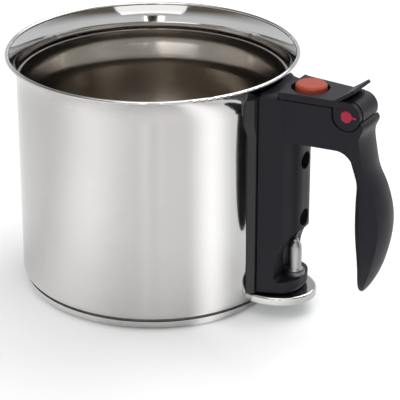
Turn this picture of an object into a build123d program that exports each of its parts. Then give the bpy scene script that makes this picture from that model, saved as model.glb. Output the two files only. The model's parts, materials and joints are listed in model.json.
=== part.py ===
from build123d import *
import os
from math import atan2, cos, radians, sin, sqrt

# A double-walled melting pot with a water jacket, standing on z = 0.
# The pot's axis is Z and its handle points along +X. All sizes are in millimetres.

# ---- pot -----------------------------------------------------------------
body_radius = 80.5            # outside of the straight wall
rim_spread = 6.2              # how far the rolled lip stands out from the wall
pot_height = 146.0            # top of the lip
flare_height = 16.0           # from the end of the straight wall to the top
lip_bead = 1.15               # radius of the rolled bead
shell_wall = 0.6
liner_wall = 0.7
braze_gap = 0.05              # film between pieces that are welded or brazed
jacket_gap = 3.4              # water space between the two walls
jacket_floor = 6.5            # water space under the liner
liner_corner = 13.0
shoulder_drop = 20.0          # height over which the liner closes in below the neck
rim_radius = body_radius + rim_spread
neck_height = pot_height - flare_height

# ---- base ----------------------------------------------------------------
base_height = 6.7             # from the table to the shell's floor
base_foot_inset = 7.9         # flat foot of the base cap, inside the wall
base_seam_inset = 1.6         # top edge of the base cap, inside the wall
base_wall = 0.6
seam_gap = 0.4                # groove between the base cap and the shell
shell_corner = 4.5
base_foot_radius = body_radius - base_foot_inset
base_seam_radius = body_radius - base_seam_inset

# ---- handle: column ------------------------------------------------------
column_gap = 1.5              # between the wall and the column
column_flank = 13.0           # length of the flat sides that close in
column_depth = 20.1           # from the wall side to the outer face
column_wall_half = 20.4
column_crease_half = 15.5
column_face_flat = 2.5        # half width of the flat strip down the outer face
column_foot_z = 14.4
column_drop = 6.4             # top of the column below the lip
crease_round = 2.0
foot_round = 3.0
crown_round = 4.0
rim_clearance = 0.9           # between the handle and the flared rim
column_wall_x = body_radius + column_gap
column_crease_x = column_wall_x + column_flank
column_face_x = column_wall_x + column_depth
column_top_z = pot_height - column_drop

# ---- handle: arm and grip ------------------------------------------------
arm_depth = 27.6              # underside of the arm below the column's top
arm_length = 30.1             # from the outer face to the pivot
pivot_drop = 6.4              # pivot below the column's top
hub_radius = 8.7              # round of the arm's back corner about the pivot
ear_radius = 8.3
ear_gap = 0.6                 # between an ear and its pocket
ear_outer = 11.7              # outside face of the ears, from the middle plane
ear_inner = 8.6
arm_hinge_half = 12.4         # half width of the arm beside the hinge
arm_back_half = 10.9          # half width of the arm at its back
throat_radius = 12.2          # sweep from the arm's underside into the grip
arm_under_z = column_top_z - arm_depth
arm_start_x = column_wall_x + 4.0
pivot_x = column_face_x + arm_length
pivot_z = column_top_z - pivot_drop
arm_hinge_x = pivot_x - 7.2

# Grip, from the top down: height below the pivot, outer face and inner face
# behind the pivot, half width, crown of the outer face.
grip_sections = [
    (2.8, 8.1, -1.2, 11.0, 0.6),
    (10.2, 8.4, -1.2, 11.0, 1.0),
    (17.7, 8.1, -1.2, 11.0, 1.4),
    (28.2, 10.1, 1.3, 11.0, 2.0),
    (34.9, 11.9, 3.8, 11.0, 2.2),
    (42.2, 15.7, 4.9, 11.0, 2.2),
    (48.7, 18.3, 4.75, 11.0, 2.2),
    (55.2, 20.2, 4.6, 11.0, 2.2),
    (69.2, 21.4, 4.8, 11.0, 2.2),
    (83.2, 19.4, 6.0, 10.8, 2.1),
    (94.2, 16.5, 7.0, 10.0, 1.9),
    (102.2, 13.4, 7.4, 8.3, 1.5),
    (106.8, 11.2, 7.5, 6.0, 1.0),
    (109.2, 10.0, 7.8, 3.6, 0.5),
]

# ---- flap ----------------------------------------------------------------
flap_setback = 10.0           # front edge of the flap behind the column's wall side
flap_rise = 2.1               # top of the flap above the column
flap_thick = 4.1
flap_gap = 0.6
tab_thick = 1.8
tab_half = 12.0
tab_length = 11.5
tab_angle = 35.0
tab_clear = 0.75              # between the thumb tab and the hub
flap_front_x = column_wall_x + flap_setback
flap_top_z = column_top_z + flap_rise

# ---- filler and vent -----------------------------------------------------
well_offset = 2.3             # axis of the well and the button past the outer face
well_radius = 8.5
well_depth = 17.0             # from the ledge to the well's floor
cup_radius = 12.9             # cup under the flap
cup_depth = 6.1               # from the flap's top to the cup's underside
cup_gap = 0.5
cup_wall = 1.7
cup_shift = 0.5               # the room round the button is off its axis, towards the pot
seal_thick = 1.4
seal_lip = 0.2                # how far the ledge lies below the seal's underside
insert_radius = 6.4           # whistle insert in the cup's floor
button_radius = 9.1
button_rise = 2.6             # top of the button above the flap
button_height = 4.0
button_wall = 1.5
stem_radius = 1.5
slide_fit = 0.05              # radial clearance of sliding and turning fits
poppet_radius = 4.6
poppet_thick = 1.2
nozzle_rise = 7.0             # axis of the nozzle above the well's floor
nozzle_radius = 6.0
nozzle_wall = 0.8
oring_wire = 1.2
small_oring_wire = 0.8
oring_setback = 4.5           # middle of both O-rings past the column's wall side
well_x = column_face_x + well_offset
cup_floor_z = flap_top_z - cup_depth
well_seat_z = cup_floor_z - seal_thick - seal_lip
well_floor_z = well_seat_z - well_depth
button_top_z = flap_top_z + button_rise
nozzle_z = well_floor_z + nozzle_rise
nozzle_end_x = well_x - well_radius - 2.4

# ---- hinge pin and its spring --------------------------------------------
pin_radius = 3.5
key_length = 2.6
key_width = 1.3
hinge_coil = 5.2
hinge_wire = 0.5
hinge_turns = 4.5
hinge_leg = 12.0
hinge_slot_half = 3.6

# ---- fasteners -----------------------------------------------------------
upper_screw_drop = 43.0       # upper screw below the column's top
lower_screw_rise = 46.2       # lower screw above the column's foot
screw_hole_radius = 5.25
screw_depth = 10.1            # from the outer face to the screw's seat
screw_head_radius = 4.0
screw_head = 2.6
screw_radius = 2.0
washer_radius = 4.6
washer_thick = 0.8
boss_radius = 4.5
boss_length = 6.0             # boss past the column's wall side
hole_gap = 0.25
bracket_thick = 1.2
bracket_half = 9.0
bracket_below = 12.0          # strap past the lower screw
bracket_above = 10.0          # strap past the upper screw
foot_screw_offset = 5.0
foot_screw_y = 11.0
foot_screw_length = 9.0
foot_screw_radius = 1.25
screw_heights = (column_top_z - upper_screw_drop, column_foot_z + lower_screw_rise)
screw_seat_x = column_face_x - screw_depth
boss_end_x = column_wall_x + boss_length
foot_screw_x = column_wall_x + foot_screw_offset

# ---- flame guard ---------------------------------------------------------
guard_gap = 0.4               # between the guard and the foot
guard_skirt = 4.5
guard_wall = 0.8
guard_round = 1.4
guard_margin = 6.9            # past the outer face
guard_flank = 1.4             # past the column's sides
guard_top_z = column_foot_z - guard_gap
guard_centre_x = column_wall_x
guard_reach = column_depth + guard_margin
guard_half = column_wall_half + guard_flank

# ---- adapter between the wall and the column -----------------------------
adapter_edge_half = 24.4      # half width where the edges lie on the wall
adapter_side_half = 21.2
adapter_reveal = 1.1          # open joint between the adapter's side and the column
adapter_tongue = 1.4          # how far its middle is let into the column
adapter_tongue_half = 15.0
adapter_drop = 2.6            # below the column's top
adapter_rise = 0.4            # above the column's foot
adapter_flare = 2.6           # extra half width under the rim
adapter_flare_drop = 26.6     # start of the widening below the column's top
adapter_flare_rise = 11.0
adapter_fit = 0.15            # film between the adapter and the wall
adapter_edge_x = sqrt(body_radius**2 - adapter_edge_half**2) - 0.1
adapter_back_x = adapter_edge_x - 6.0
adapter_face_x = column_wall_x - adapter_reveal
adapter_tongue_x = column_wall_x + adapter_tongue
adapter_foot_z = column_foot_z + adapter_rise
adapter_top_z = column_top_z - adapter_drop
adapter_flare_z = column_top_z - adapter_flare_drop

# ---- relief valve --------------------------------------------------------
relief_setback = 5.7          # axis of the valve behind the outer face
relief_rise = 4.0             # axis of its feed tube above the column's foot
relief_tube_radius = 2.5
relief_tube_wall = 0.6
relief_socket_wall = 1.2
notch_rise = 8.1              # floor of the notch above the column's foot
notch_depth = 10.9            # from the outer face to the notch's wall
relief_collar_rise = 1.9      # collar above the notch's floor
relief_collar_flange = 0.9    # collar past the socket
relief_guide_radius = 2.0
relief_cap_radius = 4.0
relief_cap_rise = 3.1         # foot of the cap above the notch's floor
relief_cap_height = 20.8
relief_guide_height = 15.4    # end of the guide above the cap's foot
silo_gap = 2.9                # round room about the cap
silo_height = 29.0
silo_radius = relief_cap_radius + silo_gap
relief_collar_radius = relief_cap_radius + relief_socket_wall + relief_collar_flange
relief_x = column_face_x - relief_setback
relief_z = column_foot_z + relief_rise
notch_floor_z = column_foot_z + notch_rise
notch_wall_x = column_face_x - notch_depth
relief_collar_z = notch_floor_z + relief_collar_rise
relief_cap_foot_z = notch_floor_z + relief_cap_rise
relief_cap_top_z = relief_cap_foot_z + relief_cap_height
relief_guide_top = relief_cap_foot_z + relief_guide_height
relief_clip_z = relief_guide_top - 1.6


# ---- helpers -------------------------------------------------------------
def cylinder_z(radius, low, high, x=0.0, y=0.0):
    return Pos(x, y, (low + high) / 2) * Cylinder(radius, high - low)


def cylinder_x(radius, low, high, y, z):
    return Pos((low + high) / 2, y, z) * Rot(0, 90, 0) * Cylinder(radius, high - low)


def cylinder_y(radius, start, end, x, z):
    return Pos(x, (start + end) / 2, z) * Rot(90, 0, 0) * Cylinder(radius, abs(end - start))


def block(x0, x1, y0, y1, z0, z1):
    return Pos((x0 + x1) / 2, (y0 + y1) / 2, (z0 + z1) / 2) * Box(x1 - x0, abs(y1 - y0), z1 - z0)


def turned(*edges):
    """Solid of revolution about Z from edges drawn as (radius, height)."""
    face = make_face([Plane.XZ * edge for edge in edges])
    return revolve(face, Axis.Z, 360)


def prism_y(*edges, half):
    """Prism along Y, both ways, from edges drawn as (x, z)."""
    face = make_face([Plane.XZ * edge for edge in edges])
    return extrude(face, amount=half, dir=(0, 1, 0), both=True)


def plan(points, low, high):
    """Prism along Z from a plan outline on the +Y side, mirrored over the middle plane."""
    mirrored = [(x, -y) for x, y in reversed(points)]
    face = make_face(Polyline(*points, *mirrored, close=True))
    return Pos(0, 0, low) * extrude(face, amount=high - low, dir=(0, 0, 1))


def flare_radius():
    """Radius of the arc that takes the straight wall out to the lip."""
    rise = pot_height - lip_bead - neck_height
    spread = rim_radius - lip_bead - body_radius
    return (rise * rise + spread * spread) / (2 * spread)


def rim_keepout(clear):
    """Room that the straight wall and the flared rim need, grown by a clearance."""
    bend = flare_radius() - clear
    end = rim_radius - lip_bead + clear
    top = pot_height + 2 * lip_bead
    middle_x = body_radius + clear + bend * (1 - cos(radians(20)))
    middle_z = neck_height + bend * sin(radians(20))
    last_z = neck_height + sqrt(bend * bend - (body_radius + clear + bend - end) ** 2)
    return turned(
        Polyline((0, -1), (body_radius + clear, -1), (body_radius + clear, neck_height)),
        ThreePointArc((body_radius + clear, neck_height), (middle_x, middle_z), (end, last_z)),
        Polyline((end, last_z), (rim_radius + clear, last_z + 1), (rim_radius + clear, top)),
        Polyline((rim_radius + clear, top), (0, top), (0, -1)),
    )


# ---- pot -----------------------------------------------------------------
def make_outer_shell():
    bend = flare_radius()
    lip_x = rim_radius - lip_bead
    lip_z = pot_height - lip_bead
    turn = atan2(lip_z - neck_height, bend - (lip_x - body_radius))
    half_turn = turn / 2
    inner = body_radius - shell_wall
    floor_z = base_height
    inside_z = floor_z + shell_wall
    corner = shell_corner

    def flare(radius, angle):
        return (body_radius + bend - radius * cos(angle), neck_height + radius * sin(angle))

    outer_arc = ThreePointArc(flare(bend, 0), flare(bend, half_turn), flare(bend, turn))
    inner_bend = bend + shell_wall
    inner_arc = ThreePointArc(flare(inner_bend, turn), flare(inner_bend, half_turn), flare(inner_bend, 0))
    wall = turned(
        Line((0, floor_z), (body_radius - corner, floor_z)),
        TangentArc((body_radius - corner, floor_z), (body_radius, floor_z + corner), tangent=(1, 0)),
        Line((body_radius, floor_z + corner), flare(bend, 0)),
        outer_arc,
        Line(flare(bend, turn), flare(inner_bend, turn)),
        inner_arc,
        Line(flare(inner_bend, 0), (inner, floor_z + corner)),
        TangentArc((inner, floor_z + corner), (body_radius - corner, inside_z), tangent=(0, -1)),
        Polyline((body_radius - corner, inside_z), (0, inside_z), (0, floor_z)),
    )
    bead = Pos(0, 0, lip_z) * Torus(lip_x, lip_bead)
    shell = wall + bead
    shell -= cylinder_x(nozzle_radius + braze_gap, body_radius - 6, body_radius + 2, 0, nozzle_z)
    shell -= cylinder_x(relief_tube_radius + braze_gap, body_radius - 6, body_radius + 2, 0, relief_z)
    return shell


def make_inner_liner():
    neck = body_radius - shell_wall - braze_gap
    wall_x = neck - jacket_gap
    neck_low = neck_height - 2
    shoulder_low = neck_low - shoulder_drop
    floor_z = base_height + shell_wall + jacket_floor
    corner = liner_corner
    t = liner_wall
    return turned(
        Line((0, floor_z), (wall_x - corner, floor_z)),
        TangentArc((wall_x - corner, floor_z), (wall_x, floor_z + corner), tangent=(1, 0)),
        Line((wall_x, floor_z + corner), (wall_x, shoulder_low)),
        Spline((wall_x, shoulder_low), (neck, neck_low), tangents=[(0, 1), (0, 1)]),
        Polyline((neck, neck_low), (neck, neck_height), (neck - t, neck_height), (neck - t, neck_low)),
        Spline((neck - t, neck_low), (wall_x - t, shoulder_low), tangents=[(0, -1), (0, -1)]),
        Line((wall_x - t, shoulder_low), (wall_x - t, floor_z + corner)),
        TangentArc((wall_x - t, floor_z + corner), (wall_x - corner, floor_z + t), tangent=(0, -1)),
        Polyline((wall_x - corner, floor_z + t), (0, floor_z + t), (0, floor_z)),
    )


def make_base_cap():
    top_z = base_height - seam_gap
    t = base_wall
    rise = top_z - 1.2
    cap = turned(
        Line((0, 0), (base_foot_radius, 0)),
        ThreePointArc(
            (base_foot_radius, 0),
            (base_foot_radius + 3.9, 1.2),
            (base_seam_radius, rise),
        ),
        Polyline((base_seam_radius, rise), (base_seam_radius, top_z), (base_seam_radius - t, top_z)),
        Line((base_seam_radius - t, top_z), (base_seam_radius - t, rise)),
        ThreePointArc(
            (base_seam_radius - t, rise),
            (base_foot_radius + 3.9 - t, 1.2 + t),
            (base_foot_radius, t),
        ),
        Polyline((base_foot_radius, t), (0, t), (0, 0)),
    )
    return cap


def make_heat_spreader():
    edge = base_foot_radius
    return turned(
        Polyline(
            (0, base_wall + braze_gap),
            (edge, base_wall + braze_gap),
            (edge + 2.5, base_wall + 2.2),
            (edge + 2.5, base_height - braze_gap),
            (0, base_height - braze_gap),
            close=True,
        )
    )


def make_handle_bracket():
    inside = body_radius + braze_gap
    outside = inside + bracket_thick
    low = min(screw_heights) - bracket_below
    high = max(screw_heights) + bracket_above
    strap = cylinder_z(outside, low, high) - cylinder_z(inside, low - 1, high + 1)
    strap = strap & block(body_radius - 10, outside + 1, -bracket_half, bracket_half, low, high)
    for height in screw_heights:
        strap += cylinder_x(boss_radius, body_radius + 0.6, boss_end_x, 0, height)
    for height in screw_heights:
        strap -= cylinder_x(screw_radius + slide_fit, body_radius + 0.7, boss_end_x + 1, 0, height)
    return strap


def make_filler_nozzle():
    start = body_radius - 2.0
    tube = cylinder_x(nozzle_radius, start, nozzle_end_x, 0, nozzle_z)
    tube -= cylinder_x(nozzle_radius - nozzle_wall, start - 1, nozzle_end_x + 1, 0, nozzle_z)
    return tube - cylinder_z(body_radius - shell_wall + braze_gap, 0, pot_height)


def make_relief_tube():
    start = body_radius - 2.0
    end = relief_x - relief_socket_radius() + 2.0
    tube = cylinder_x(relief_tube_radius, start, end, 0, relief_z)
    tube -= cylinder_x(relief_tube_radius - relief_tube_wall, start - 1, end + 1, 0, relief_z)
    return tube - cylinder_z(body_radius - shell_wall + braze_gap, 0, pot_height)


def relief_socket_radius():
    """Radius of the valve body below the notch floor."""
    return relief_cap_radius + relief_socket_wall


def ring_x(radius, wire, x, z):
    return Pos(x, 0, z) * Rot(0, 90, 0) * Torus(radius, wire)


def make_nozzle_oring():
    coil = nozzle_radius + oring_wire + 0.02
    return ring_x(coil, oring_wire, column_wall_x + oring_setback, nozzle_z)


def make_relief_tube_oring():
    coil = relief_tube_radius + small_oring_wire + 0.02
    return ring_x(coil, small_oring_wire, column_wall_x + oring_setback, relief_z)


# ---- flame guard and adapter ---------------------------------------------
def guard_outline(shrink, low, high):
    face = Ellipse(guard_reach - shrink, guard_half - shrink)
    return Pos(guard_centre_x, 0, low) * extrude(face, amount=high - low)


def make_flame_guard():
    low = guard_top_z - guard_skirt
    top = guard_top_z
    wall = guard_wall
    body = guard_outline(0, low, top)
    rim_edges = body.edges().filter_by_position(Axis.Z, top, top)
    body = fillet(rim_edges, guard_round)
    inside = guard_outline(wall, low - 1, top - wall)
    body -= inside
    body -= cylinder_z(body_radius + braze_gap, 0, pot_height)
    body = largest(body)
    for side in (-1, 1):
        body -= cylinder_z(1.7 + hole_gap, low, top + 1, foot_screw_x, side * foot_screw_y)
    return body


def largest(shape):
    return max(shape.solids(), key=lambda solid: solid.volume)


def adapter_section(height):
    """Plan of the adapter at a height; it widens under the flare of the rim."""
    rise = min(max((height - adapter_flare_z) / adapter_flare_rise, 0.0), 1.0)
    spread = adapter_flare * rise * rise * (3 - 2 * rise)
    half = [
        (adapter_tongue_x, adapter_tongue_half),
        (adapter_face_x, adapter_tongue_half),
        (adapter_face_x, adapter_side_half + spread),
        (adapter_edge_x, adapter_edge_half + spread),
        (adapter_back_x, adapter_edge_half + spread),
    ]
    mirrored = [(x, -y) for x, y in reversed(half)]
    return Pos(0, 0, height) * make_face(Polyline(*half, *mirrored, close=True))


def make_wall_adapter():
    steps = [adapter_flare_z + adapter_flare_rise * step / 6 for step in range(7)]
    heights = [adapter_foot_z] + steps + [adapter_top_z]
    body = loft([adapter_section(height) for height in heights], ruled=True)
    body -= rim_keepout(adapter_fit)
    low = min(screw_heights) - bracket_below - 0.4
    high = max(screw_heights) + bracket_above + 0.4
    half = bracket_half + 0.4
    body -= block(adapter_back_x, boss_end_x, -half, half, low, high)
    body -= cylinder_x(nozzle_radius + hole_gap, adapter_back_x, boss_end_x, 0, nozzle_z)
    body -= cylinder_x(relief_tube_radius + hole_gap, adapter_back_x, boss_end_x, 0, relief_z)
    return largest(body)


# ---- handle --------------------------------------------------------------
def column_prism(low, high):
    """Column section: flat sides that close in, then a rounded outer part."""
    crease_y = column_crease_half
    mid_x = column_crease_x + 0.70 * (column_face_x - column_crease_x)
    mid_y = 0.66 * crease_y
    flat = column_face_flat
    section = make_face(
        [
            Line((column_wall_x, -column_wall_half), (column_wall_x, column_wall_half)),
            Line((column_wall_x, column_wall_half), (column_crease_x, crease_y)),
            ThreePointArc((column_crease_x, crease_y), (mid_x, mid_y), (column_face_x, flat)),
            Line((column_face_x, flat), (column_face_x, -flat)),
            ThreePointArc((column_face_x, -flat), (mid_x, -mid_y), (column_crease_x, -crease_y)),
            Line((column_crease_x, -crease_y), (column_wall_x, -column_wall_half)),
        ]
    )
    creases = section.vertices().filter_by_position(Axis.X, column_crease_x - 0.1, column_crease_x + 0.1)
    section = fillet(creases, crease_round)
    return Pos(0, 0, low) * extrude(section, amount=high - low, dir=(0, 0, 1))


def arm_prism(low, high):
    """Plan of the arm, which narrows from the column to the grip."""
    slope = (column_wall_half - column_crease_half) / (column_crease_x - column_wall_x)
    outline = [
        (arm_start_x, column_wall_half - slope * (arm_start_x - column_wall_x)),
        (column_crease_x, column_crease_half),
        (arm_hinge_x, arm_hinge_half),
        (pivot_x + hub_radius, arm_back_half),
    ]
    return plan(outline, low, high)


def arm_side():
    """Side view of the arm, from the column to the top of the grip."""
    back_x = pivot_x + hub_radius
    top = pivot_z + hub_radius
    root_z = column_top_z - 2 * crown_round
    inner_x = back_x - 2.0
    throat_x = inner_x - 0.7
    throat_z = arm_under_z - 14.0
    sweep = throat_x - throat_radius
    half_turn = hub_radius * cos(radians(45))
    return prism_y(
        Polyline((arm_start_x, root_z), (arm_start_x, arm_under_z), (sweep, arm_under_z)),
        Spline(
            (sweep, arm_under_z),
            (throat_x - 4.2, arm_under_z - 3.4),
            (throat_x, throat_z),
            tangents=[(1, 0), (0, -1)],
        ),
        Polyline((throat_x, throat_z), (inner_x, throat_z), (inner_x, pivot_z - 2.6)),
        Polyline((inner_x, pivot_z - 2.6), (back_x, pivot_z - 2.0), (back_x, pivot_z)),
        ThreePointArc((back_x, pivot_z), (pivot_x + half_turn, pivot_z + half_turn), (pivot_x, top)),
        Polyline((pivot_x, top), (flap_front_x, top), (flap_front_x, root_z), (arm_start_x, root_z)),
        half=30,
    )


def grip_section(drop, behind, front, half, crown):
    outer = pivot_x + behind
    inner = pivot_x + front
    depth = outer - inner
    corner = min(0.62 * depth, 0.62 * half)
    c45 = corner * (1 - cos(radians(45)))
    arcs = [
        ThreePointArc((outer, -half), (outer + crown, 0), (outer, half)),
        Line((outer, half), (inner + corner, half)),
        ThreePointArc((inner + corner, half), (inner + c45, half - c45), (inner, half - corner)),
        Line((inner, half - corner), (inner, corner - half)),
        ThreePointArc((inner, corner - half), (inner + c45, c45 - half), (inner + corner, -half)),
        Line((inner + corner, -half), (outer, -half)),
    ]
    return Pos(0, 0, pivot_z - drop) * make_face(arcs)


def make_grip():
    return loft([grip_section(*row) for row in grip_sections])


def notch_prism():
    """Scoop through the column that leaves the relief valve free."""
    wall_x = notch_wall_x
    floor = notch_floor_z
    far = column_face_x + 12
    slope_x = column_face_x - 1.1
    slope_z = floor + 30.7
    return prism_y(
        Polyline((far, floor), (wall_x + 1.5, floor), (wall_x, floor + 1.5), (wall_x, floor + 11)),
        ThreePointArc((wall_x, floor + 11), (wall_x + 2.8, floor + 22.3), (slope_x, slope_z)),
        Polyline((slope_x, slope_z), (far, slope_z + 8.4), (far, floor)),
        half=30,
    )


def ear_pocket(side):
    near = ear_inner - ear_gap
    pocket = cylinder_y(ear_radius + ear_gap, side * near, side * 30, pivot_x, pivot_z)
    lift = block(pivot_x - ear_radius - ear_gap, pivot_x, side * near, side * 30, pivot_z, pivot_z + 12)
    return pocket + lift


def make_column():
    body = column_prism(column_foot_z, column_top_z)
    for height, radius in ((column_foot_z, foot_round), (column_top_z, crown_round)):
        ends = body.edges().filter_by_position(Axis.Z, height, height)
        body = fillet([edge for edge in ends if (edge @ 0.5).X > column_wall_x + 0.5], radius)
    body -= rim_keepout(rim_clearance)
    body -= notch_prism()
    body -= cylinder_z(silo_radius, notch_floor_z, notch_floor_z + silo_height, relief_x)
    recess = adapter_tongue_x + 0.1
    half = adapter_tongue_half + 0.2
    body -= block(column_wall_x - 1, recess, -half, half, column_foot_z - 1, adapter_top_z + 0.4)
    for side in (-1, 1):
        y = side * foot_screw_y
        body -= cylinder_z(foot_screw_radius + slide_fit, 0, foot_screw_top() + 0.5, foot_screw_x, y)
    return body


def make_handle_body():
    """Column, arm and grip in one moulding."""
    arm = arm_side() & arm_prism(arm_under_z - 20, pivot_z + 12)
    body = arm + make_grip() + make_column()
    for tool in [flap_room(), hinge_slot()] + handle_bores():
        body -= tool
    return largest(body)


def flap_room():
    """Space above the arm that the closed flap fills."""
    under = flap_top_z - flap_thick - flap_gap
    front = flap_front_x - flap_gap
    hub = cylinder_y(hub_radius, -ear_inner, ear_inner, pivot_x, pivot_z)
    rear = block(pivot_x, pivot_x + 20, -30, 30, under, pivot_z + 20)
    room = block(front, pivot_x, -30, 30, under, pivot_z + 20)
    return room - hub - rear


def hinge_slot():
    """Slot in the middle of the arm for the flap's torsion spring."""
    reach = hinge_coil + hinge_wire + 0.8
    slot = cylinder_y(reach, -hinge_slot_half, hinge_slot_half, pivot_x, pivot_z)
    front = well_x + cup_radius + cup_gap + 1.2
    slot += block(front, pivot_x, -hinge_slot_half, hinge_slot_half, pivot_z - reach, pivot_z + reach)
    return slot


def handle_bores():
    """Tools for the screw holes, filler well, valve sockets, hinge and adapter recess."""
    groove = nozzle_radius + 2 * oring_wire + 0.1
    small_groove = relief_tube_radius + 2 * small_oring_wire + 0.1
    small_room = small_oring_wire + 0.4
    seal_x = column_wall_x + oring_setback
    inside = column_wall_x - 1
    socket = relief_socket_radius() + braze_gap
    tools = [
        ear_pocket(-1),
        ear_pocket(1),
        cylinder_y(pin_radius + slide_fit, -20, 20, pivot_x, pivot_z),
        cylinder_z(cup_radius + cup_gap, well_seat_z, flap_top_z + 1, well_x),
        cylinder_z(well_radius, well_floor_z, flap_top_z, well_x),
        cylinder_x(nozzle_radius + hole_gap, inside, well_x, 0, nozzle_z),
        cylinder_x(groove, seal_x - oring_wire - 0.2, seal_x + oring_wire + 0.2, 0, nozzle_z),
        cylinder_x(relief_tube_radius + hole_gap, inside, relief_x, 0, relief_z),
        cylinder_x(small_groove, seal_x - small_room, seal_x + small_room, 0, relief_z),
        cylinder_z(socket, relief_z - 3, notch_floor_z + 1, relief_x),
    ]
    for height in screw_heights:
        tools.append(cylinder_x(screw_hole_radius, screw_seat_x, column_face_x + 20, 0, height))
        tools.append(cylinder_x(screw_radius + hole_gap, inside, screw_seat_x + 1, 0, height))
        tools.append(cylinder_x(boss_radius + hole_gap, inside, boss_end_x + hole_gap, 0, height))
    return tools


# ---- flap ----------------------------------------------------------------
def make_flap():
    under = flap_top_z - flap_thick
    plate_edges = prism_y(
        Polyline(
            (flap_front_x + 2.2, under),
            (pivot_x, under),
            (pivot_x, flap_top_z),
            (flap_front_x, flap_top_z),
            (flap_front_x, under + 2.2),
        ),
        TangentArc((flap_front_x, under + 2.2), (flap_front_x + 2.2, under), tangent=(0, -1)),
        half=30,
    )
    flap = plate_edges & arm_prism(under - 1, flap_top_z + 1)
    for side in (-1, 1):
        flap += cylinder_y(ear_radius, side * ear_inner, side * ear_outer, pivot_x, pivot_z)
        front = pivot_x - ear_radius
        flap += block(front, pivot_x, side * ear_inner, side * ear_outer, pivot_z, flap_top_z - 0.6)
    flap -= cylinder_y(hub_radius + ear_gap, -ear_inner, ear_inner, pivot_x, pivot_z)
    flap += cylinder_z(cup_radius, cup_floor_z, under + 1, well_x)
    flap -= cylinder_z(recess_radius(), cup_floor_z + cup_wall, flap_top_z + 1, well_x - cup_shift)
    flap += thumb_tab()
    bore = pin_radius + 0.3
    flap -= cylinder_y(bore, -20, 20, pivot_x, pivot_z)
    flap -= block(pivot_x, pivot_x + pin_radius + key_length + 0.2, -20, 20, pivot_z - 0.9, pivot_z + 0.9)
    flap -= spring_groove(under)
    flap -= cylinder_z(insert_radius + slide_fit, cup_floor_z - 1, flap_top_z, well_x)
    flap -= seal_room()
    return largest(flap)


def recess_radius():
    return cup_radius - cup_wall


def spring_groove(under):
    """Groove under the flap for the torsion spring's upper leg."""
    half = hinge_slot_half
    return block(well_x + cup_radius + 1.5, pivot_x, -half, half, under - 1, under + 1.7)


def thumb_tab():
    """Thin plate that stands off the hub and leans back over it."""
    slope = radians(tab_angle)
    reach = hub_radius + tab_clear + tab_thick
    foot_x = pivot_x - reach * sin(slope)
    foot_z = pivot_z + reach * cos(slope)
    plate = Box(tab_length + 4.5, 2 * tab_half, tab_thick, align=(Align.MIN, Align.CENTER, Align.MAX))
    plate = fillet(plate.edges().filter_by(Axis.Z).group_by(Axis.X)[-1], 2.5)
    placed = Pos(foot_x, 0, foot_z) * Rot(0, -tab_angle, 0) * Pos(-4.5, 0, 0) * plate
    return placed - block(foot_x - 20, foot_x + 20, -30, 30, 0, flap_top_z - 2.5)


def seal_room():
    outer = cup_radius + 1
    inner = well_radius - 0.9
    ring = cylinder_z(outer, cup_floor_z - 1, cup_floor_z + 0.01, well_x)
    return ring - cylinder_z(inner, cup_floor_z - 2, cup_floor_z + 2, well_x)


def make_flap_seal():
    low = cup_floor_z - seal_thick
    ring = cylinder_z(cup_radius - 0.3, low + 0.3, cup_floor_z - 0.02, well_x)
    ring -= cylinder_z(well_radius - 0.9, low - 1, cup_floor_z + 1, well_x)
    return ring


def make_whistle_insert():
    body = cylinder_z(insert_radius, cup_floor_z, cup_floor_z + cup_wall - 0.1, well_x)
    flange_low = cup_floor_z + cup_wall
    body += cylinder_z(insert_radius + 1.0, flange_low + 0.02, flange_low + 0.9, well_x)
    body += cylinder_z(insert_radius - 1, cup_floor_z, flange_low + 0.5, well_x)
    body -= cylinder_z(stem_radius + slide_fit, cup_floor_z - 1, flange_low + 2, well_x)
    for spot in PolarLocations(3.2, 4, start_angle=45):
        body -= Pos(well_x, 0, cup_floor_z + 1) * spot * Cylinder(0.8, 8)
    return body


def make_vent_button():
    low = button_top_z - button_height
    cap = cylinder_z(button_radius, low, button_top_z, well_x)
    cap = chamfer(cap.edges().group_by(Axis.Z)[-1], 1.1, 1.1)
    cap -= cylinder_z(button_radius - button_wall, low - 1, button_top_z - button_wall, well_x)
    cap += cylinder_z(stem_radius + 1.2, low, button_top_z - button_wall + 0.1, well_x)
    cap -= cylinder_z(stem_radius, low - 1, button_top_z - button_wall, well_x)
    return cap


def make_vent_stem():
    top = button_top_z - button_wall - braze_gap
    return cylinder_z(stem_radius, poppet_low() - 0.6, top, well_x)


def poppet_low():
    return cup_floor_z - 0.35 - poppet_thick


def make_vent_poppet():
    disc = cylinder_z(poppet_radius, poppet_low(), cup_floor_z - 0.35, well_x)
    return disc - cylinder_z(stem_radius, poppet_low() - 1, cup_floor_z, well_x)


def make_stem_clip():
    ring = cylinder_z(stem_radius + 1.1, poppet_low() - 0.55, poppet_low() - 0.05, well_x)
    ring -= cylinder_z(stem_radius, poppet_low() - 2, poppet_low() + 1, well_x)
    return ring - block(well_x, well_x + 5, -0.9, 0.9, poppet_low() - 2, poppet_low() + 1)


def coil_z(coil, wire, low, high, turns, x):
    """Helical compression spring with its axis along Z."""
    rise = high - low - 2 * wire
    path = Helix(pitch=rise / turns, height=rise, radius=coil)
    start = Plane(origin=path @ 0, z_dir=path % 0)
    spring = sweep(start * Circle(wire), path=path, is_frenet=True)
    return Pos(x, 0, low + wire) * spring


def make_button_spring():
    low = cup_floor_z + cup_wall + 0.95
    high = button_top_z - button_wall - 0.05
    return coil_z(4.6, 0.35, low, high, 3.5, well_x)


def make_pivot_pin():
    pin = cylinder_y(pin_radius, -ear_outer - 0.3, ear_outer + 0.2, pivot_x, pivot_z)
    for side in (-1, 1):
        face = side * (ear_outer + 0.2)
        root = side * (ear_outer - 1.6)
        tongue = pin_radius + key_length
        half = key_width / 2
        pin += block(pivot_x, pivot_x + tongue, root, face, pivot_z - half, pivot_z + half)
    return pin


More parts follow.
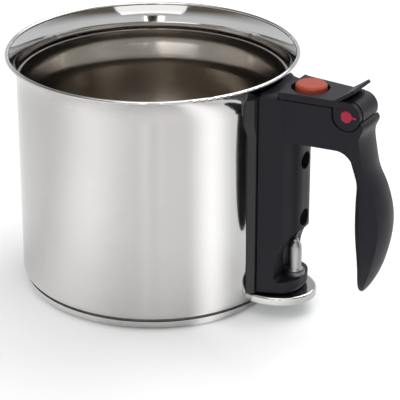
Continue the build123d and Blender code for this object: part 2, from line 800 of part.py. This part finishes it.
def make_flap_spring():
    """Torsion spring: a close coil about the pin with two straight legs."""
    pitch = 2 * hinge_wire + 0.15
    height = pitch * hinge_turns
    path = Helix(pitch=pitch, height=height, radius=hinge_coil)
    start = Plane(origin=path @ 0, z_dir=path % 0)
    coil = sweep(start * Circle(hinge_wire), path=path, is_frenet=True)
    for end, way in ((path @ 0, -1), (path @ 1, 1)):
        heading = (path % 0) * -1 if way < 0 else path % 1
        leg = Plane(origin=end, z_dir=heading) * Cylinder(
            hinge_wire, hinge_leg, align=(Align.CENTER, Align.CENTER, Align.MIN)
        )
        coil += leg
    coil = Pos(0, 0, -height / 2) * coil
    return Pos(pivot_x, 0, pivot_z) * Rot(90, 0, 0) * Rot(0, 0, -90) * coil


# ---- fasteners -----------------------------------------------------------
def make_handle_screws():
    screws = []
    for height in screw_heights:
        seat = screw_seat_x + washer_thick + 0.04
        head = cylinder_x(screw_head_radius, seat, seat + screw_head, 0, height)
        head = fillet(head.edges().group_by(Axis.X)[-1], 1.2)
        shank = cylinder_x(screw_radius, body_radius + 2.2, seat + 0.5, 0, height)
        drive = cylinder_x(1.7, seat + screw_head - 1.6, seat + screw_head + 1, 0, height)
        screws.append(head + shank - drive)
    return Compound(screws)


def make_screw_washers():
    washers = []
    for height in screw_heights:
        seat = screw_seat_x + 0.02
        ring = cylinder_x(washer_radius, seat, seat + washer_thick, 0, height)
        washers.append(ring - cylinder_x(screw_radius + 0.15, seat - 1, seat + 2, 0, height))
    return Compound(washers)


def foot_screw_top():
    return guard_top_z - guard_wall + foot_screw_length


def make_foot_screws():
    screws = []
    under = guard_top_z - guard_wall - 0.03
    for side in (-1, 1):
        y = side * foot_screw_y
        head = cylinder_z(2.9, under - 1.9, under, foot_screw_x, y)
        head = fillet(head.edges().group_by(Axis.Z)[0], 0.9)
        shank = cylinder_z(foot_screw_radius, under - 0.5, foot_screw_top(), foot_screw_x, y)
        drive = cylinder_z(1.1, under - 3, under - 0.9, foot_screw_x, y)
        screws.append(head + shank - drive)
    return Compound(screws)


# ---- relief valve --------------------------------------------------------
def make_relief_seat():
    radius = relief_socket_radius()
    seat = cylinder_z(radius, relief_z - 2.9, relief_collar_z, relief_x)
    seat += cylinder_z(relief_collar_radius, relief_collar_z - 0.9, relief_cap_foot_z - 0.05, relief_x)
    seat += cylinder_z(relief_guide_radius, relief_collar_z, relief_guide_top, relief_x)
    seat -= cylinder_z(1.0, relief_z, relief_guide_top + 1, relief_x)
    seat -= cylinder_x(relief_tube_radius + 0.05, relief_x - 10, relief_x, 0, relief_z)
    groove = cylinder_z(relief_guide_radius + 1, relief_clip_z - 0.05, relief_clip_z + 0.65, relief_x)
    return seat - (groove - cylinder_z(relief_guide_radius - 0.4, 0, pot_height, relief_x))


def make_relief_gasket():
    ring = cylinder_z(relief_collar_radius - 0.1, notch_floor_z + 0.05, relief_collar_z - 0.95, relief_x)
    return ring - cylinder_z(relief_socket_radius() + 0.05, notch_floor_z - 1, relief_collar_z, relief_x)


def make_relief_cap():
    """Hollow bullet-shaped cap that slides on the valve's guide."""
    foot = relief_cap_foot_z
    top = relief_cap_top_z
    shoulder = foot + 14.4
    radius = relief_cap_radius
    nose = 2.1
    cap = turned(
        Polyline((0, foot), (radius + 0.9, foot), (radius + 0.9, foot + 0.7), (radius, foot + 1.6)),
        Line((radius, foot + 1.6), (radius, shoulder)),
        ThreePointArc((radius, shoulder), (radius - 0.65, shoulder + 2.5), (nose, top - nose)),
        CenterArc((0, top - nose), nose, 0, 90),
        Line((0, top), (0, foot)),
    )
    cap -= cylinder_z(relief_guide_radius + slide_fit, foot - 1, shoulder + 2.6)
    return Pos(relief_x, 0, 0) * (cap - cylinder_z(radius - 0.7, foot + 4.0, shoulder + 0.4))


def make_relief_spring():
    low = relief_cap_foot_z + 4.1
    return coil_z(2.65, 0.3, low, relief_clip_z - 0.05, 5.5, relief_x)


def make_relief_clip():
    outer = relief_cap_radius - 1.0
    ring = cylinder_z(outer, relief_clip_z, relief_clip_z + 0.6, relief_x)
    ring -= cylinder_z(relief_guide_radius - 0.4, relief_clip_z - 1, relief_clip_z + 2, relief_x)
    return ring - block(relief_x, relief_x + 6, -0.9, 0.9, relief_clip_z - 1, relief_clip_z + 2)


makers = {
    "outer_shell": make_outer_shell,
    "inner_liner": make_inner_liner,
    "heat_spreader": make_heat_spreader,
    "base_cap": make_base_cap,
    "handle_bracket": make_handle_bracket,
    "filler_nozzle": make_filler_nozzle,
    "nozzle_oring": make_nozzle_oring,
    "relief_tube": make_relief_tube,
    "relief_tube_oring": make_relief_tube_oring,
    "flame_guard": make_flame_guard,
    "wall_adapter": make_wall_adapter,
    "handle_body": make_handle_body,
    "handle_screws": make_handle_screws,
    "screw_washers": make_screw_washers,
    "foot_screws": make_foot_screws,
    "flap": make_flap,
    "flap_seal": make_flap_seal,
    "whistle_insert": make_whistle_insert,
    "pivot_pin": make_pivot_pin,
    "flap_spring": make_flap_spring,
    "vent_button": make_vent_button,
    "vent_stem": make_vent_stem,
    "vent_poppet": make_vent_poppet,
    "stem_clip": make_stem_clip,
    "button_spring": make_button_spring,
    "relief_seat": make_relief_seat,
    "relief_gasket": make_relief_gasket,
    "relief_cap": make_relief_cap,
    "relief_spring": make_relief_spring,
    "relief_clip": make_relief_clip,
}

os.makedirs("parts", exist_ok=True)
for name, make in makers.items():
    export_step(make(), f"parts/{name}.step")
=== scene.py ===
import json
from math import cos, pi, radians, sin

import bpy
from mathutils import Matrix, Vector

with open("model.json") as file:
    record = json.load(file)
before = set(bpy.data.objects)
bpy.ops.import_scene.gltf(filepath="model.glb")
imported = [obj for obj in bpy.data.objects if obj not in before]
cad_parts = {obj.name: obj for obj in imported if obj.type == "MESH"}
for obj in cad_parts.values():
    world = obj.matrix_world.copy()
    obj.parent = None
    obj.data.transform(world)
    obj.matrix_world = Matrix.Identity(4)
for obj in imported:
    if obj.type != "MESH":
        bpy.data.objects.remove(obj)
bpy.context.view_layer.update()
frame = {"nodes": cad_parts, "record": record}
nodes = frame["nodes"]


# ---- camera --------------------------------------------------------------
camera_azimuth = radians(30)
camera_elevation = radians(24.48)
camera_distance = 1.1475
camera_target = Vector((0.0240, 0.0139, 0.0482))
camera_lens = 169.8

# ---- studio sizes --------------------------------------------------------
wall_radius = 0.0805
floor_reach = 6.0
floor_lift = 0.14
fan_length = 1.1
fan_height = 0.0006
flag_half_width = 0.08
flag_low = -0.42
flag_high = 0.045
flag_gap = 0.05

# ---- material sizes ------------------------------------------------------
plastic_grain = 0.000012
rubber_grain = 0.00002
soft_edge = 0.0004


def toward_camera():
    flat = cos(camera_elevation)
    return Vector((sin(camera_azimuth) * flat, -cos(camera_azimuth) * flat, sin(camera_elevation)))


def make_camera():
    data = bpy.data.cameras.new("camera")
    data.lens = camera_lens
    data.sensor_width = 36
    camera = bpy.data.objects.new("camera", data)
    bpy.context.scene.collection.objects.link(camera)
    away = toward_camera()
    camera.location = camera_target + away * camera_distance
    camera.rotation_euler = away.to_track_quat("Z", "Y").to_euler()
    bpy.context.scene.camera = camera


# ---- shader helpers ------------------------------------------------------
class Material:
    """A node material whose nodes are added one at a time."""

    def __init__(self, name):
        self.material = bpy.data.materials.new(name)
        self.material.use_nodes = True
        self.tree = self.material.node_tree
        self.shader = self.tree.nodes["Principled BSDF"]
        self.coords = self.add("ShaderNodeTexCoord").outputs["Object"]

    def add(self, kind, **settings):
        node = self.tree.nodes.new(kind)
        for key, value in settings.items():
            setattr(node, key, value)
        return node

    def link(self, output, socket):
        self.tree.links.new(output, socket)

    def stretched(self, scale):
        mapping = self.add("ShaderNodeMapping")
        mapping.inputs["Scale"].default_value = scale
        self.link(self.coords, mapping.inputs["Vector"])
        return mapping.outputs["Vector"]

    def noise(self, scale, detail, vector=None):
        node = self.add("ShaderNodeTexNoise")
        node.inputs["Scale"].default_value = scale
        node.inputs["Detail"].default_value = detail
        self.link(vector or self.coords, node.inputs["Vector"])
        return node.outputs["Fac"]

    def ranged(self, output, low, high):
        """Spreads the middle of a noise, where nearly all its values lie, over low to high."""
        node = self.add("ShaderNodeMapRange")
        node.inputs["From Min"].default_value = 0.3
        node.inputs["From Max"].default_value = 0.7
        node.inputs["To Min"].default_value = low
        node.inputs["To Max"].default_value = high
        self.link(output, node.inputs["Value"])
        return node.outputs["Result"]

    def mixed(self, output, dark, light):
        """Blends two colours; the colour sockets of the mix node are 6, 7 and output 2."""
        node = self.add("ShaderNodeMix", data_type="RGBA")
        node.inputs[6].default_value = (*dark, 1)
        node.inputs[7].default_value = (*light, 1)
        self.link(output, node.inputs[0])
        return node.outputs[2]

    def bump(self, height, distance, edge=0.0):
        node = self.add("ShaderNodeBump")
        node.inputs["Distance"].default_value = distance
        node.inputs["Strength"].default_value = 1.0
        self.link(height, node.inputs["Height"])
        if edge:
            bevel = self.add("ShaderNodeBevel", samples=4)
            bevel.inputs["Radius"].default_value = edge
            self.link(bevel.outputs["Normal"], node.inputs["Normal"])
        self.link(node.outputs["Normal"], self.shader.inputs["Normal"])

    def colour(self, output):
        self.link(output, self.shader.inputs["Base Color"])

    def rough(self, output):
        self.link(output, self.shader.inputs["Roughness"])


def tint(base, factor):
    return tuple(channel * factor for channel in base)


# ---- materials -----------------------------------------------------------
def steel(name, base, rough, brush=(1, 1, 1), brush_depth=0.0, spread=0.25):
    """Steel with faint clouding, fine brush lines and a little uneven gloss."""
    m = Material(name)
    m.shader.inputs["Metallic"].default_value = 1.0
    cloud = m.noise(22, 3)
    m.colour(m.mixed(cloud, tint(base, 0.96), tint(base, 1.04)))
    lines = m.noise(1400, 2, m.stretched(brush))
    gloss = m.ranged(lines, rough * (1 - spread), rough * (1 + spread))
    m.rough(gloss)
    if brush_depth:
        m.bump(lines, brush_depth)
    return m.material


def plastic(name, base, rough, spec):
    """Moulded plastic with a spark-eroded grain and softly rounded edges."""
    m = Material(name)
    m.shader.inputs["Specular IOR Level"].default_value = spec
    fine = m.noise(2600, 3)
    broad = m.noise(45, 3)
    m.colour(m.mixed(broad, tint(base, 0.9), tint(base, 1.12)))
    m.rough(m.ranged(broad, rough - 0.04, rough + 0.05))
    m.bump(fine, plastic_grain, edge=soft_edge)
    return m.material


def rubber(name):
    """Matt black rubber with a fine grain."""
    m = Material(name)
    fine = m.noise(1500, 4)
    m.colour(m.mixed(fine, (0.010, 0.010, 0.011), (0.022, 0.022, 0.023)))
    m.rough(m.ranged(fine, 0.55, 0.7))
    m.bump(fine, rubber_grain)
    return m.material


def make_materials():
    mirror = (0.565, 0.561, 0.553)
    return {
        "polished_steel": steel("polished_steel", mirror, 0.075, (0.2, 0.2, 1)),
        "liner_steel": steel("liner_steel", (0.54, 0.51, 0.47), 0.15, (0.2, 0.2, 1), spread=0.08),
        "spreader_aluminium": steel("spreader_aluminium", (0.72, 0.72, 0.73), 0.3, brush_depth=0.00001),
        "base_steel": steel("base_steel", mirror, 0.16, (0.1, 0.1, 1), 0.000002),
        "bracket_steel": steel("bracket_steel", (0.55, 0.55, 0.55), 0.28, (1, 1, 0.1), 0.000004),
        "guard_steel": steel("guard_steel", mirror, 0.09),
        "screw_steel": steel("screw_steel", (0.60, 0.60, 0.60), 0.25),
        "spring_steel": steel("spring_steel", (0.50, 0.50, 0.51), 0.22),
        "valve_steel": steel("valve_steel", (0.36, 0.36, 0.36), 0.34, (1, 1, 0.06), 0.000004),
        "seat_steel": steel("seat_steel", (0.17, 0.17, 0.175), 0.36, (1, 1, 0.06), 0.000004),
        "insert_brass": steel("insert_brass", (0.76, 0.57, 0.28), 0.24, (0.1, 0.1, 1), 0.000003),
        "adapter_plastic": plastic("adapter_plastic", (0.024, 0.024, 0.026), 0.42, spec=0.28),
        "handle_plastic": plastic("handle_plastic", (0.0080, 0.0074, 0.0118), 0.46, spec=0.22),
        "button_red_plastic": plastic("button_red_plastic", (0.34, 0.050, 0.026), 0.45, spec=0.28),
        "pin_red_plastic": plastic("pin_red_plastic", (0.33, 0.018, 0.050), 0.38, spec=0.25),
        "seal_rubber": rubber("seal_rubber"),
    }


def dress_nodes(materials):
    for row in frame["record"]["subparts"]:
        mesh = nodes[row["node"]].data
        mesh.materials.clear()
        mesh.materials.append(materials[row["material_slot"]])


# ---- studio --------------------------------------------------------------
def make_world():
    """Bright at the horizon, dim halfway up and lighter overhead; white to the camera."""
    world = bpy.data.worlds.new("studio")
    bpy.context.scene.world = world
    world.use_nodes = True
    tree = world.node_tree
    tree.nodes.clear()
    coords = tree.nodes.new("ShaderNodeTexCoord")
    split = tree.nodes.new("ShaderNodeSeparateXYZ")
    ramp = tree.nodes.new("ShaderNodeValToRGB")
    shown = tree.nodes.new("ShaderNodeBackground")
    lit = tree.nodes.new("ShaderNodeBackground")
    path = tree.nodes.new("ShaderNodeLightPath")
    mix = tree.nodes.new("ShaderNodeMixShader")
    out = tree.nodes.new("ShaderNodeOutputWorld")
    tree.links.new(coords.outputs["Generated"], split.inputs[0])
    tree.links.new(split.outputs["Z"], ramp.inputs["Fac"])
    horizon = (0.92, 0.93, 0.95, 1)
    low_sky = (0.85, 0.86, 0.88, 1)
    mid_sky = (0.6, 0.6, 0.61, 1)
    dim = (0.16, 0.14, 0.11, 1)
    zenith = (0.62, 0.61, 0.60, 1)
    ramp.color_ramp.elements[0].position = 0.0
    ramp.color_ramp.elements[0].color = horizon
    ramp.color_ramp.elements[1].position = 1.0
    ramp.color_ramp.elements[1].color = zenith
    for place, tone in ((0.3, low_sky), (0.43, mid_sky), (0.6, dim), (0.72, dim)):
        step = ramp.color_ramp.elements.new(place)
        step.color = tone
    tree.links.new(ramp.outputs["Color"], lit.inputs["Color"])
    shown.inputs["Color"].default_value = (1, 1, 1, 1)
    tree.links.new(path.outputs["Is Camera Ray"], mix.inputs[0])
    tree.links.new(lit.outputs[0], mix.inputs[1])
    tree.links.new(shown.outputs[0], mix.inputs[2])
    tree.links.new(mix.outputs[0], out.inputs[0])


def area(name, place, aim, size, power, tone=(1, 1, 1)):
    """Rectangular lamp at place, facing aim."""
    data = bpy.data.lights.new(name, "AREA")
    data.shape = "RECTANGLE"
    data.size = size[0]
    data.size_y = size[1]
    data.energy = power
    data.color = tone
    lamp = bpy.data.objects.new(name, data)
    bpy.context.scene.collection.objects.link(lamp)
    lamp.location = place
    lamp.rotation_euler = (Vector(place) - Vector(aim)).to_track_quat("Z", "Y").to_euler()
    lamp.visible_camera = False
    return lamp


def rectangle(name, half_width, low, high):
    """Flat mesh in its own XY plane."""
    mesh = bpy.data.meshes.new(name)
    corners = [(-half_width, low, 0), (half_width, low, 0), (half_width, high, 0), (-half_width, high, 0)]
    mesh.from_pydata(corners, [], [(0, 1, 2, 3)])
    return mesh


def make_floor():
    mesh = rectangle("floor", floor_reach, -floor_reach, floor_reach)
    floor = bpy.data.objects.new("floor", mesh)
    bpy.context.scene.collection.objects.link(floor)
    m = Material("floor")
    m.colour(m.mixed(m.noise(3, 2), (0.86, 0.865, 0.875), (0.88, 0.885, 0.89)))
    m.shader.inputs["Roughness"].default_value = 0.35
    lift_for_camera(m)
    mesh.materials.append(m.material)


def lift_for_camera(m):
    """Overexposes the floor to near white without brightening what the steel reflects."""
    path = m.add("ShaderNodeLightPath")
    lift = m.add("ShaderNodeMath", operation="MULTIPLY")
    lift.inputs[1].default_value = floor_lift
    m.link(path.outputs["Is Camera Ray"], lift.inputs[0])
    m.shader.inputs["Emission Color"].default_value = (0.94, 0.98, 1.0, 1)
    m.link(lift.outputs[0], m.shader.inputs["Emission Strength"])


def fan_mesh(name, half_angle):
    """Triangle that spreads from the origin along +X."""
    side = sin(half_angle) * fan_length
    ahead = cos(half_angle) * fan_length
    mesh = bpy.data.meshes.new(name)
    mesh.from_pydata([(0.0, 0.0, 0.0), (ahead, -side, 0.0), (ahead, side, 0.0)], [], [(0, 1, 2)])
    return mesh


def fan_material(name, half_angle, strength):
    """Clear glow, strongest along the middle of the fan and fading out to its two sides."""
    material = bpy.data.materials.new(name)
    material.use_nodes = True
    tree = material.node_tree
    tree.nodes.clear()
    coords = tree.nodes.new("ShaderNodeTexCoord")
    split = tree.nodes.new("ShaderNodeSeparateXYZ")
    angle = tree.nodes.new("ShaderNodeMath")
    angle.operation = "ARCTAN2"
    size = tree.nodes.new("ShaderNodeMath")
    size.operation = "ABSOLUTE"
    fall = tree.nodes.new("ShaderNodeMapRange")
    fall.interpolation_type = "SMOOTHSTEP"
    fall.inputs["From Min"].default_value = 0.0
    fall.inputs["From Max"].default_value = half_angle
    fall.inputs["To Min"].default_value = strength
    fall.inputs["To Max"].default_value = 0.0
    glow = tree.nodes.new("ShaderNodeEmission")
    clear = tree.nodes.new("ShaderNodeBsdfTransparent")
    add = tree.nodes.new("ShaderNodeAddShader")
    out = tree.nodes.new("ShaderNodeOutputMaterial")
    tree.links.new(coords.outputs["Object"], split.inputs[0])
    tree.links.new(split.outputs["Y"], angle.inputs[0])
    tree.links.new(split.outputs["X"], angle.inputs[1])
    tree.links.new(angle.outputs[0], size.inputs[0])
    tree.links.new(size.outputs[0], fall.inputs["Value"])
    tree.links.new(fall.outputs["Result"], glow.inputs["Strength"])
    tree.links.new(glow.outputs[0], add.inputs[0])
    tree.links.new(clear.outputs[0], add.inputs[1])
    tree.links.new(add.outputs[0], out.inputs["Surface"])
    return material


def glow_fan(name, normal, half_angle, strength):
    """Soft fan of light on the floor, seen only in polished metal as an upright band.

    normal is the direction, in degrees, that the wall faces where the band shows.
    The fan spreads from the point behind the wall where its reflected rays meet.
    """
    wall = radians(normal)
    view = camera_azimuth - pi / 2
    heading = 2 * wall - view
    depth = wall_radius / 2 * cos(wall - view)
    fan = bpy.data.objects.new(name, fan_mesh(name, half_angle))
    bpy.context.scene.collection.objects.link(fan)
    fan.rotation_euler = (0, 0, heading)
    start = Vector((cos(wall), sin(wall), 0)) * wall_radius
    fan.location = start - Vector((cos(heading), sin(heading), 0)) * depth + Vector((0, 0, fan_height))
    fan.data.materials.append(fan_material(name, half_angle, strength))
    hide_from_view(fan)


def hide_from_view(thing):
    """Studio gear that only reflections show."""
    thing.visible_camera = False
    thing.visible_diffuse = False
    thing.visible_shadow = False


def make_flag():
    """Dark outline of the photographer's camera, which the polished rim picks up."""
    mesh = rectangle("flag", flag_half_width, flag_low, flag_high)
    flag = bpy.data.objects.new("flag", mesh)
    bpy.context.scene.collection.objects.link(flag)
    away = toward_camera()
    flag.location = camera_target + away * (camera_distance - flag_gap)
    flag.rotation_euler = away.to_track_quat("Z", "Y").to_euler()
    m = Material("flag")
    m.shader.inputs["Base Color"].default_value = (0.005, 0.005, 0.005, 1)
    m.shader.inputs["Roughness"].default_value = 0.9
    mesh.materials.append(m.material)
    hide_from_view(flag)


def make_lights():
    area("key_back", (0.25, 0.85, 1.15), (0.0, 0.0, 0.05), (1.3, 0.9), 12)
    area("top", (0.1, -0.1, 1.5), (0.0, 0.0, 0.0), (1.2, 1.2), 8)
    area("front_top", (0.65, -1.0, 1.25), (0.05, 0.0, 0.08), (1.5, 0.85), 5.5)
    area("camera_box", (0.571, -0.988, 0.371), (0.0, 0.0, 0.13), (0.34, 0.4), 0.9, (1.0, 0.94, 0.84))


def make_fans():
    glow_fan("fan_left", -90, 0.72, 0.14)
    glow_fan("fan_right", -34.5, 0.42, 0.66)
    glow_fan("fan_back", 100, 0.6, 0.3)
    glow_fan("fan_far", 170, 0.5, 0.3)


make_camera()
dress_nodes(make_materials())
make_world()
make_floor()
make_lights()
make_fans()
make_flag()
bpy.context.scene.view_settings.view_transform = "Standard"
